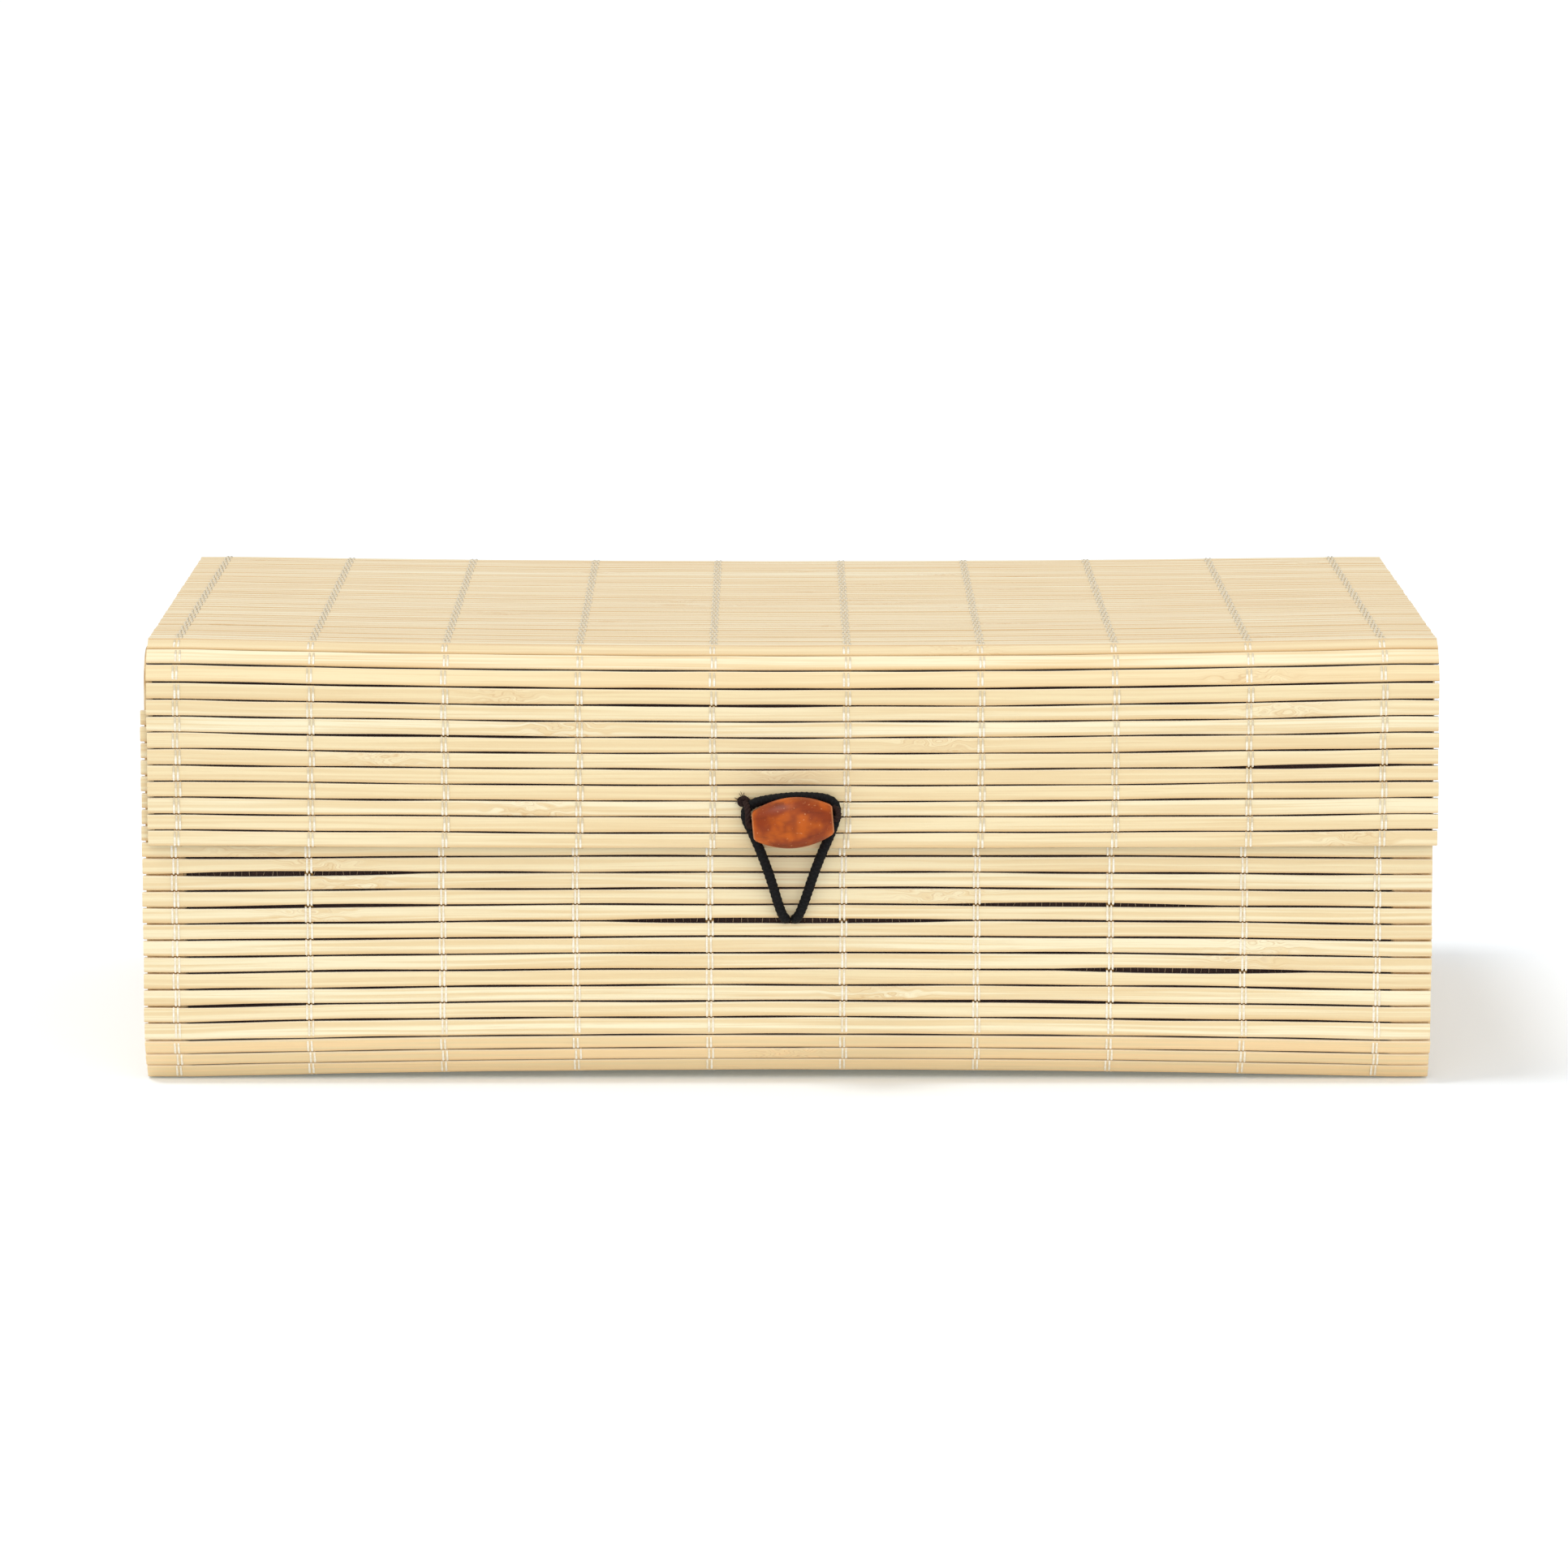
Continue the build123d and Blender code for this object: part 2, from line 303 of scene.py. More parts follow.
class Finish:
    """A procedural material on one Principled surface."""

    def __init__(self, name, **surface):
        self.material = bpy.data.materials.new(name)
        self.material.use_nodes = True
        self.tree = self.material.node_tree
        self.surface = self.tree.nodes["Principled BSDF"]
        for socket, value in surface.items():
            self.surface.inputs[socket.replace("_", " ")].default_value = value

    def node(self, kind, inputs=None, **settings):
        node = self.tree.nodes.new("ShaderNode" + kind)
        for setting, value in settings.items():
            setattr(node, setting, value)
        for socket, value in (inputs or {}).items():
            self.feed(node.inputs[socket], value)
        return node

    def feed(self, socket, value):
        if isinstance(value, bpy.types.NodeSocket):
            self.tree.links.new(value, socket)
        else:
            socket.default_value = value

    def attribute(self, name):
        """The three numbers of a mesh attribute."""
        vector = self.node("Attribute", attribute_name=name).outputs["Vector"]
        return list(self.node("SeparateXYZ", {0: vector}).outputs)

    def math(self, operation, *values):
        node = self.node("Math", dict(enumerate(values)), operation=operation)
        return node.outputs[0]

    def vector(self, x, y, z):
        return self.node("CombineXYZ", {0: x, 1: y, 2: z}).outputs[0]

    def noise(self, vector, scale=1.0, detail=2.0, roughness=0.5):
        inputs = {"Vector": vector, "Scale": scale, "Detail": detail, "Roughness": roughness}
        return self.node("TexNoise", inputs).outputs["Fac"]

    def step(self, value, low, high, to_low=0.0, to_high=1.0):
        """A smooth step of a value between low and high."""
        inputs = {0: value, 1: low, 2: high, 3: to_low, 4: to_high}
        return self.node("MapRange", inputs, interpolation_type="SMOOTHSTEP").outputs[0]

    def mix(self, factor, first, second):
        first = (*first, 1) if isinstance(first, tuple) else first
        second = (*second, 1) if isinstance(second, tuple) else second
        return self.node("Mix", {0: factor, 6: first, 7: second}, data_type="RGBA").outputs[2]

    def colour(self, value):
        self.feed(self.surface.inputs["Base Color"], value)

    def bump(self, height, strength, distance):
        inputs = {"Height": height, "Strength": strength, "Distance": distance * MM}
        self.feed(self.surface.inputs["Normal"], self.node("Bump", inputs).outputs[0])


def rgb(red, green, blue):
    """Linear colour from an 8-bit display colour."""
    return tuple((c / 255 / 12.92) if c <= 10 else ((c / 255 + 0.055) / 1.055) ** 2.4
                 for c in (red, green, blue))


def bamboo_finish():
    """Planed bamboo: fine fibres along the slat, a tone of its own, and swirls at the nodes.

    A tone over 1 is the warmer, darker painted shade of the bottom corners' slats. An edge near -1
    takes a painted highlight and near 1 a painted shade, on the front wall and flap the upper and
    lower edges; beyond 1 or -1 is the side wall of a slat, dark with painted shade in the gap.
    """
    finish = Finish("bamboo", Roughness=0.5, IOR=1.45, Sheen_Weight=0.2)
    along, across, seed = finish.attribute("fibre")
    tone, edge, knot = finish.attribute("slat")
    swirl_field = finish.vector(
        finish.math("MULTIPLY", along, 0.16), finish.math("MULTIPLY", across, 0.42), seed)
    swirl = finish.math("SUBTRACT", finish.noise(swirl_field, 1.0, 1.0), 0.5)
    bend = finish.math("MULTIPLY", finish.math("MULTIPLY", swirl, knot), 9.0)
    drift_field = finish.vector(finish.math("MULTIPLY", along, 0.02), seed, 0.0)
    drift = finish.math("MULTIPLY", finish.noise(drift_field, 1.0, 0.0), 1.2)
    line = finish.math("ADD", finish.math("ADD", across, bend), drift)
    broad_field = finish.vector(
        finish.math("MULTIPLY", along, 0.012), finish.math("MULTIPLY", line, 0.9), seed)
    broad = finish.noise(broad_field, 1.0, 2.0)
    fine_field = finish.vector(
        finish.math("MULTIPLY", along, 0.05), finish.math("MULTIPLY", line, 4.5), seed)
    fine = finish.noise(fine_field, 1.0, 3.0, 0.6)
    pale = finish.mix(finish.step(tone, 0.0, 1.0), rgb(248, 237, 201), rgb(242, 222, 176))
    # Painted shade: tones over 1, on the bottom corners' slats, turn warmer and darker
    pale = finish.mix(finish.step(tone, 1.0, 2.0), pale, rgb(245, 210, 157))
    colour = finish.mix(finish.step(broad, 0.38, 0.62), pale, rgb(235, 210, 162))
    colour = finish.mix(finish.step(fine, 0.52, 0.74, 0.0, 0.5), colour, rgb(221, 187, 134))
    rings = finish.math("SINE", finish.math("MULTIPLY", line, 8.5))
    ring_strength = finish.math("MULTIPLY", finish.step(rings, 0.35, 1.0), knot)
    colour = finish.mix(finish.math("MULTIPLY", ring_strength, 0.3), colour, rgb(196, 146, 94))
    # Painted shade along the edge near 1, the lower edge on the front wall and flap
    colour = finish.mix(finish.step(edge, 0.45, 1.0, 0.0, 0.5), colour, rgb(214, 166, 102))
    # Painted highlight along the edge near -1, the upper edge on the front wall and flap
    colour = finish.mix(finish.step(edge, -0.8, -0.97, 0.0, 0.5), colour, rgb(252, 240, 214))
    # Painted shade: side walls, with edge values past 1 or -1, go dark brown as the shade in the gaps
    side = finish.step(finish.math("ABSOLUTE", edge), 1.02, 1.5)
    finish.colour(finish.mix(side, colour, rgb(48, 24, 12)))
    fibre_height = finish.math("MULTIPLY", fine, 0.6)
    ring_height = finish.math("MULTIPLY", ring_strength, 0.5)
    finish.bump(finish.math("ADD", fibre_height, ring_height), 0.35, 0.06)
    return finish.material


def bamboo_end_finish():
    """The cut end of a slat: straw with the dark dots of its fibre bundles."""
    finish = Finish("bamboo_end", Roughness=0.75)
    place = finish.node("TexCoord").outputs["Object"]
    cells = finish.node("TexVoronoi", {"Vector": place, "Scale": 2600.0}).outputs["Distance"]
    grain = finish.noise(place, 900.0, 2.0)
    colour = finish.mix(finish.step(grain, 0.35, 0.65), rgb(226, 190, 128), rgb(206, 164, 100))
    finish.colour(finish.mix(finish.step(cells, 0.38, 0.22), colour, rgb(126, 84, 44)))
    finish.bump(grain, 0.4, 0.08)
    return finish.material


def thread_finish():
    """Whitish warp thread, golden brown where it dips between two slats, with painted shade on the flap and
    lid: darker on the first half of each slat, and greyer on the lid.
    """
    finish = Finish("warp_thread", Roughness=0.55, Sheen_Weight=0.15)
    along, height, place = finish.attribute("strand")
    ply = finish.math("SINE", finish.math("MULTIPLY", along, 14.0))
    soil = finish.noise(finish.node("TexCoord").outputs["Object"], 900.0, 2.0)
    pale = finish.mix(finish.step(soil, 0.3, 0.7), rgb(255, 250, 236), rgb(240, 228, 202))
    colour = finish.mix(finish.step(ply, 0.2, 1.0, 0.0, 0.2), pale, rgb(206, 184, 138))
    # Painted shade on the first half of each slat's thread: the upper half on the flap, the far half on the
    # lid
    shaded_half = finish.step(along, 2.0, 1.5)
    on_flap = finish.step(place, 0.4, 0.6, 0.0, 0.5)
    on_lid = finish.step(place, 1.4, 1.6)
    colour = finish.mix(finish.math("MULTIPLY", shaded_half, on_flap), colour, rgb(186, 164, 112))
    # Painted shade on the lid: greyer threads, darker still on each slat's far half
    colour = finish.mix(finish.math("MULTIPLY", on_lid, 0.75), colour, rgb(216, 202, 172))
    colour = finish.mix(finish.math("MULTIPLY", shaded_half, on_lid), colour, rgb(142, 124, 88))
    finish.colour(finish.mix(finish.step(height, 0.95, 0.55), colour, rgb(184, 132, 50)))
    finish.bump(ply, 0.3, 0.05)
    return finish.material


def cloth_finish():
    """Dark brown plain weave with a pale thread here and there."""
    finish = Finish("backing_cloth", Roughness=0.9, Sheen_Weight=0.3)
    across, along, side = finish.attribute("weave")
    count = 2 * pi / 0.62
    warp = finish.math("SINE", finish.math("MULTIPLY", across, count))
    weft = finish.math("SINE", finish.math("MULTIPLY", along, count))
    cross = finish.math("MULTIPLY", warp, weft)
    fuzz = finish.noise(finish.vector(finish.math("MULTIPLY", across, 0.9),
                                      finish.math("MULTIPLY", along, 0.9), side), 1.0, 4.0, 0.7)
    colour = finish.mix(finish.step(cross, -0.8, 0.9), rgb(34, 18, 13), rgb(66, 38, 28))
    colour = finish.mix(finish.step(fuzz, 0.45, 0.8, 0.0, 0.6), colour, rgb(92, 58, 44))
    finish.colour(colour)
    height = finish.math("ADD", finish.math("MULTIPLY", cross, 0.5), fuzz)
    finish.bump(height, 0.7, 0.16)
    return finish.material


def panel_finish():
    """Light soft wood with its grain along the panel's depth."""
    finish = Finish("end_panel_wood", Roughness=0.62)
    place = finish.node("TexCoord").outputs["Object"]
    parts = finish.node("SeparateXYZ", {0: place}).outputs
    flow = finish.noise(place, 14.0, 2.0)
    height = finish.math("ADD", finish.math("MULTIPLY", parts[2], 1.0), finish.math("MULTIPLY", flow, 0.03))
    field = finish.vector(finish.math("MULTIPLY", parts[0], 160.0), finish.math("MULTIPLY", parts[1], 5.0),
                          finish.math("MULTIPLY", height, 230.0))
    rings = finish.noise(field, 1.0, 2.0)
    pores = finish.noise(finish.vector(finish.math("MULTIPLY", parts[0], 900.0),
                                       finish.math("MULTIPLY", parts[1], 40.0),
                                       finish.math("MULTIPLY", parts[2], 1500.0)), 1.0, 3.0)
    colour = finish.mix(finish.step(rings, 0.35, 0.65), rgb(236, 208, 160), rgb(214, 176, 120))
    colour = finish.mix(finish.step(pores, 0.55, 0.72, 0.0, 0.5), colour, rgb(172, 128, 78))
    finish.colour(colour)
    finish.bump(pores, 0.3, 0.08)
    return finish.material


def bead_finish():
    """Stained and waxed turned wood, paler at the rims."""
    finish = Finish("bead_wood", Roughness=0.42, Specular_IOR_Level=0.25)
    along, around, reach = finish.attribute("turned")
    place = finish.node("TexCoord").outputs["Object"]
    blotch = finish.noise(place, 190.0, 2.0)
    grain = finish.noise(finish.vector(finish.math("MULTIPLY", along, 0.16),
                                       finish.math("MULTIPLY", around, 9.0), 0.0), 1.0, 3.0, 0.6)
    specks = finish.noise(place, 1500.0, 1.0)
    colour = finish.mix(finish.step(blotch, 0.36, 0.66), rgb(138, 52, 6), rgb(190, 88, 6))
    colour = finish.mix(finish.step(grain, 0.45, 0.75, 0.0, 0.55), colour, rgb(104, 38, 6))
    colour = finish.mix(finish.step(specks, 0.68, 0.78, 0.0, 0.5), colour, rgb(224, 160, 110))
    finish.colour(finish.mix(finish.step(reach, 0.0, 1.0, 0.0, 0.6), colour, rgb(206, 138, 92)))
    finish.bump(grain, 0.12, 0.05)
    return finish.material


def strand_finish(name, dark, light):
    """Spun cord in two near tones, mixed by an attribute. On a braid it is the crest height, so the grooves
    take the darker tone as painted shade; plies and fibres get a fixed or random value.
    """
    finish = Finish(name, Roughness=0.8, Specular_IOR_Level=0.25)
    along, raised, seed = finish.attribute("strand")
    lint = finish.noise(finish.vector(finish.math("MULTIPLY", along, 3.0), raised, seed), 1.0, 3.0, 0.7)
    # On a braid, painted shade: the grooves between strands take the dark tone
    colour = finish.mix(finish.step(raised, 0.2, 0.9), dark, light)
    finish.colour(finish.mix(finish.step(lint, 0.62, 0.8, 0.0, 0.3), colour, rgb(52, 46, 44)))
    finish.bump(lint, 0.5, 0.08)
    return finish.material


bamboo = bamboo_finish()
bamboo_end = bamboo_end_finish()
thread_white = thread_finish()
cloth_brown = cloth_finish()
panel_wood = panel_finish()
bead_wood = bead_finish()
elastic_black = strand_finish("elastic_braid", rgb(4, 4, 5), rgb(17, 16, 18))
cord_brown = strand_finish("bead_cord_fibre", rgb(18, 9, 8), rgb(56, 30, 24))
yarn_grey = strand_finish("cloth_yarn", rgb(120, 98, 80), rgb(176, 152, 124))


# ---------- Camera, light and floor ----------

# The photograph's view: pitched down a little from 1.9 m away through a long lens
camera_place = Vector((-2.2, -1903.6, 345.0)) * MM
camera_pitch = 8.47
camera_lens = 169.1

camera = bpy.data.cameras.new("camera")
camera.lens = camera_lens
camera.sensor_width = 36
camera_object = bpy.data.objects.new("camera", camera)
camera_object.location = camera_place
camera_object.rotation_euler = (radians(90 - camera_pitch), 0, 0)
bpy.context.scene.collection.objects.link(camera_object)
bpy.context.scene.camera = camera_object
bpy.context.scene.view_settings.view_transform = "Standard"


def sun(name, direction, strength, angle):
    """A distant light that shines along a direction, soft by its angle."""
    light = bpy.data.lights.new(name, "SUN")
    light.energy = strength
    light.angle = radians(angle)
    lamp = bpy.data.objects.new(name, light)
    lamp.rotation_mode = "QUATERNION"
    lamp.rotation_quaternion = Vector(direction).to_track_quat("-Z", "Y")
    bpy.context.scene.collection.objects.link(lamp)


sun("key_light", (0.32, 0.1, -0.94), 0.9, 16)
sun("fill_light", (-0.1, 0.86, -0.5), 0.72, 60)

world = bpy.data.worlds.new("studio")
world.use_nodes = True
world.node_tree.nodes["Background"].inputs["Color"].default_value = (1, 1, 1, 1)
world.node_tree.nodes["Background"].inputs["Strength"].default_value = 0.68
bpy.context.scene.world = world

floor_finish = Finish("studio_floor", Roughness=0.9, Base_Color=(0.93, 0.965, 1.0, 1))
floor_finish.surface.inputs["Emission Color"].default_value = (0.8, 0.92, 1, 1)
floor_finish.surface.inputs["Emission Strength"].default_value = 0.09
floor_half = 9.0
floor_points = np.array([(-1, -1, 0), (1, -1, 0), (1, 1, 0), (-1, 1, 0)]) * floor_half
studio_floor = mesh_piece("studio_floor", floor_points, [(0, 1, 2, 3)], [floor_finish.material])


# ---------- Elastic loop ----------

# The braid is laid out at its crests, a little over the elastic's mean diameter
braid_crest_diameter = 2.55
loop_route = [
    (-1.7, -96.3, 42.0),
    (-2.5, -98.9, 42.2),
    (-6.0, -100.1, 54.5),
    (-9.8, -100.45, 64.0),
    (-12.2, -100.45, 68.6),
    (-10.6, -100.45, 71.6),
    (-5.2, -100.45, 72.8),
    (2.0, -100.45, 73.4),
    (9.3, -100.45, 72.9),
    (11.1, -100.45, 70.2),
    (10.1, -100.45, 65.6),
    (6.0, -100.2, 56.5),
    (1.5, -98.9, 42.3),
    (0.6, -96.3, 42.0),
]


def spline_points(name, route, resolution):
    """Points along the smooth spline that has a route's points as its control points."""
    curve = bpy.data.curves.new(name, "CURVE")
    curve.dimensions = "3D"
    spline = curve.splines.new("NURBS")
    spline.points.add(len(route) - 1)
    for point, place in zip(spline.points, route):
        point.co = (*(Vector(place) * MM), 1)
    spline.order_u = 3
    spline.use_endpoint_u = True
    spline.resolution_u = resolution
    holder = bpy.data.objects.new(name, curve)
    bpy.context.scene.collection.objects.link(holder)
    line = bpy.data.meshes.new_from_object(holder)
    points = np.array([v.co for v in line.vertices])
    bpy.data.objects.remove(holder)
    bpy.data.curves.remove(curve)
    bpy.data.meshes.remove(line)
    return points


def walked_lengths(path):
    """How far along a path each of its points lies, in millimetres."""
    steps = np.linalg.norm(np.diff(path, axis=0), axis=1)
    return np.concatenate([[0], np.cumsum(steps)]) / MM


def evenly(path, spacing):
    """A path's points again, an even spacing in millimetres apart."""
    far = walked_lengths(path)
    stops = np.linspace(0, far[-1], max(2, round(far[-1] / spacing)))
    return np.stack([np.interp(stops, far, path[:, axis]) for axis in range(3)], axis=-1)


def braided(path, diameter, strands, lay, around=24, depth=0.12):
    """Rings of a braided cord: two sets of strands that spiral opposite ways, over and under."""
    far = walked_lengths(path)[:, None]
    angle = np.linspace(0, 2 * pi, around, endpoint=False)[None, :]
    one = np.cos(strands * (angle + 2 * pi * far / lay))
    other = np.cos(strands * (angle - 2 * pi * far / lay))
    # Crest height: high on the strands, low in the grooves, which the finish paints darker as shade
    raised = 0.5 + 0.5 * np.maximum(one, other) * np.sign(one * other + 0.4)
    relief = 1 - depth * (1 - np.clip(raised, 0, 1))
    rings = swept(path, diameter / 2 * MM, around, relief=relief)
    marks = np.stack([np.broadcast_to(far, raised.shape), raised, np.zeros_like(raised)], axis=-1)
    return rings, marks


loop_path = evenly(spline_points("loop_line", loop_route, 24), 0.2)
loop_rings, loop_marks = braided(loop_path, braid_crest_diameter, 4, 5.0)
loop_mesh = Tubes()
loop_mesh.add(loop_rings, strand=loop_marks)
loop = loop_mesh.piece("elastic_loop", elastic_black, sharp=80)
carry(loop, "loop", "elastic", "closure_loop")


# ---------- Bamboo slats ----------

slat_steps = 140
slat_s = np.linspace(0, 1, slat_steps + 1)
slat_x = (slat_s - 0.5) * box_length

# Wide gaps in the photograph: (node, gap counted from the run's start, middle x, half length, extra)
wide_gaps = [
    ("front_wall_slats", 10, -125, 34, 0.42),
    ("front_wall_slats", 12, -113, 28, 0.22),
    ("front_wall_slats", 12, 72, 36, 0.30),
    ("front_wall_slats", 13, -2, 44, 0.50),
    ("front_wall_slats", 16, 98, 32, 0.46),
    ("front_wall_slats", 18, 60, 30, 0.16),
    ("front_wall_slats", 18, -135, 20, 0.14),
    ("flap_slats", 1, -20, 45, 0.16),
    ("flap_slats", 5, 128, 26, 0.30),
    ("flap_slats", 3, -95, 40, 0.14),
]

# Nodes of the bamboo seen in the photograph: (node, slat counted from the run's start, x)
seen_knots = [
    ("flap_slats", 5, -3), ("flap_slats", 0, -72), ("flap_slats", 2, -57), ("flap_slats", 4, -102),
    ("flap_slats", 7, -66), ("front_wall_slats", 9, -115), ("front_wall_slats", 12, -118),
    ("front_wall_slats", 11, 38), ("front_wall_slats", 14, 118), ("front_wall_slats", 17, 23),
    ("lid_top_slats", 12, 22), ("lid_top_slats", 16, 4), ("lid_top_slats", 20, 14),
    ("lid_top_slats", 23, -24), ("lid_top_slats", 8, 60),
]


def wander(size, waves):
    """A smooth random line along the slats, about as far from zero as size."""
    phases = random.uniform(0, 2 * pi, len(waves))
    weights = random.uniform(0.5, 1, len(waves))
    total = sum(w * np.sin(2 * pi * slat_x / wave + p) for w, wave, p in zip(weights, waves, phases))
    return size * total / weights.sum()


# Share of the usual gap between slats: closer on the flap, and closest where the fold begins
flap_gap_share = 0.8
tight_gaps = {("lid_top_slats", lid_run.count): 0.4, ("fold_slat_1", 0): 0.4,
              ("fold_slat_1", 1): 0.5, ("fold_slat_2", 0): 0.5}


def gap_lines(run, number):
    """Middle and half width, along x, of the gap before a run's slat of that number."""
    middle = wander(0.16, (290, 130, 61))
    pinch = 0.5 + 0.5 * np.cos(2 * pi * (slat_x - first_column) / column_spacing)
    usual = flap_gap_share if run.body in fold_bodies + ["flap"] else 1.0
    share = tight_gaps.get((run.node, number), usual)
    width = slat_gap * share + wander(0.14, (210, 95, 52, 33)) - 0.1 * (pinch - 0.5)
    for node, gap, centre, half_length, extra in wide_gaps:
        if run.node == node and gap == number:
            bump = np.clip(1 - ((slat_x - centre) / half_length) ** 2, 0, 1)
            width = width + 2 * extra * bump
    if number in (0, run.count):
        middle = middle * 0
    return middle, np.clip(width, 0.1, 1.4) / 2


# At each gap a run's slats have a flare, by which the faces reach into a corner's open gap, and
# a shade, the furthest edge value of their side walls, which sets how dark their painted gap shade gets
fold_flare = 0.2
corner_flare_share = 0.75
full_shade = 1.6
first_fold_shade = 1.14
second_fold_shade = 1.2
for run in mat:
    run.gaps = [gap_lines(run, number) for number in range(run.count + 1)]
    run.flares = np.zeros(run.count + 1)
    run.shade = np.full(run.count + 1, full_shade)
for run, following in zip(mat, mat[1:]):
    turn = following.heading - run.heading
    spread = (cloth_thickness / 2 + slat_thickness) * np.tan(radians(turn / 2))
    if {run.body, following.body} & set(fold_bodies):
        run.flares[-1] = following.flares[0] = fold_flare
    elif run.body == following.body:
        run.flares[-1] = following.flares[0] = corner_flare_share * spread
lid_run.shade[-1] = fold_runs[0].shade[0] = first_fold_shade
fold_runs[0].shade[-1] = fold_runs[1].shade[0] = second_fold_shade


def slat_profile(low, high, thickness, lean, flares):
    """Points (along, out) round a slat's section, whose face is wider than its back by the flares."""
    half = (high - low) / 2
    middle = (high + low) / 2
    across = np.array([-1, -1, -1, -1, -0.95, -0.82, -0.35, 0.35, 0.82, 0.95, 1, 1, 1, 1])
    inset = np.array([0.12, 0, 0, 0, 0, 0, 0, 0, 0, 0, 0, 0, 0, 0.12])
    out = np.array([0, 0.3, -0.55, -0.2, -0.05, -0.01, 0, 0, -0.01, -0.05, -0.2, -0.55, 0.3, 0])
    from_back = np.array([1, 1, 0, 0, 0, 0, 0, 0, 0, 0, 0, 0, 1, 1])
    # Side wall points get edge values past 1, which the bamboo finish paints dark as gap shade
    depth = np.array([1.6, 1.6, 1.45, 1, 1, 1, 1, 1, 1, 1, 1, 1.45, 1.6, 1.6])
    along = middle[:, None] + across * (half[:, None] - inset)
    along = along + np.where(from_back == 1, 0, np.where(across > 0, flares[1], -flares[0]))
    top = thickness[:, None] + lean * across
    return along, np.where(from_back == 1, out, top + out), across * depth


def slat_knots(run, number):
    """Where a slat has nodes of the cane."""
    seen = [x for node, slat, x in seen_knots if node == run.node and slat == number]
    if seen:
        return seen
    return [] if random.random() < 0.45 else [random.uniform(-150, 150)]


# Tone of the slats of the two bottom corners, painted warmer and darker than the rest as their shade
bend_shade_tone = 1.7


def add_slat(mesh, run, number):
    """One slat with its own width, thickness, ends, nodes and tone."""
    before, after = run.gaps[number], run.gaps[number + 1]
    low = number * run.pitch + before[0] + before[1]
    high = (number + 1) * run.pitch + after[0] - after[1]
    knots = slat_knots(run, number)
    ridge = sum((np.exp(-((slat_x - x) / 2.2) ** 2) for x in knots), np.zeros_like(slat_x))
    swirl = sum((np.exp(-((slat_x - x) / 10.0) ** 2) for x in knots), np.zeros_like(slat_x))
    thickness = run.thickness - random.uniform(0, 0.1) + 0.07 * ridge + wander(0.02, (80, 37))
    flares = run.flares[number:number + 2]
    along, out, across = slat_profile(low, high, thickness, random.uniform(-0.035, 0.035), flares)
    left, right = -box_length / 2 + random.uniform(-0.1, 0.12, 2) * (1, -1) + (0, box_length)
    left -= body_left_reach if run.body == "box" else 0
    x = (left + (right - left) * slat_s)[:, None] + 0 * along
    seed = random.uniform(0, 400)
    tone = random.uniform(0, 1)
    # Painted shade: the bottom corners' slats take the warmer, darker tone
    if "bend" in run.node:
        tone = bend_shade_tone
    rings = placed(run, along, out + cloth_thickness / 2, x)
    fibre = np.stack([x, along - number * run.pitch, np.full_like(x, seed)], axis=-1)
    over_panel = (abs(x) > box_length / 2 - panel_thickness) & (run.body == "box")
    # Painted gap shade on the side walls, limited by each gap's shade; none over the end panels
    edge = np.clip(across, -run.shade[number], run.shade[number + 1])
    edge = np.where(over_panel, np.clip(edge, -1, 1), edge)
    looks = np.stack([np.full_like(x, tone), edge,
                      np.broadcast_to(swirl[:, None], x.shape)], axis=-1)
    cut = 0.35 * random.uniform(0.15, 0.35)
    for end, inner in ((0, 1), (-1, -2)):
        middle = rings[end].mean(axis=0)
        rings[inner] = rings[end] + (rings[inner] - rings[end]) * 0.12
        rings[end] = middle + (rings[end] - middle) * (1 - cut * 0.5)
    mesh.add(rings, cap_finish=1, fibre=fibre, slat=looks)


for node in dict.fromkeys(run.node for run in mat):
    mesh = Tubes()
    for run in mat:
        if run.node == node:
            for number in range(run.count):
                add_slat(mesh, run, number)
            body = run.body
    slats = mesh.piece(node.replace("slat", "bamboo_slat"), bamboo, bamboo_end, sharp=35)
    carry(slats, body, "bamboo_slats", node)


# ---------- Warp threads ----------


def thread_line(run, number, x, over):
    """(along, out) of a thread from the gap before a slat to just before the gap after it."""
    start = number * run.pitch + np.interp(x, slat_x, run.gaps[number][0])
    end = (number + 1) * run.pitch + np.interp(x, slat_x, run.gaps[number + 1][0])
    cloth = cloth_thickness / 2
    top = cloth + run.thickness
    middle = cloth + 0.45 * run.thickness
    if not over:
        return [(start, middle), (start + 0.9, cloth + 0.1), (end - 0.9, cloth + 0.1)]
    edge = 0.16
    crown = [] if run is floor_run else [(start + 0.95, top + 0.1), (end - 0.95, top + 0.1)]
    return [(start, middle), (start + edge, top - 0.3), (start + 0.42, top + 0.03), *crown,
            (end - 0.42, top + 0.03), (end - edge, top - 0.3)]


def thread_place(body):
    """Where a body's threads lie: 0 on the box, 1 on the flap and its fold, 2 on the lid and hinge."""
    if body == "box":
        return 0.0
    return 2.0 if body in ["lid", *hinge_bodies] else 1.0


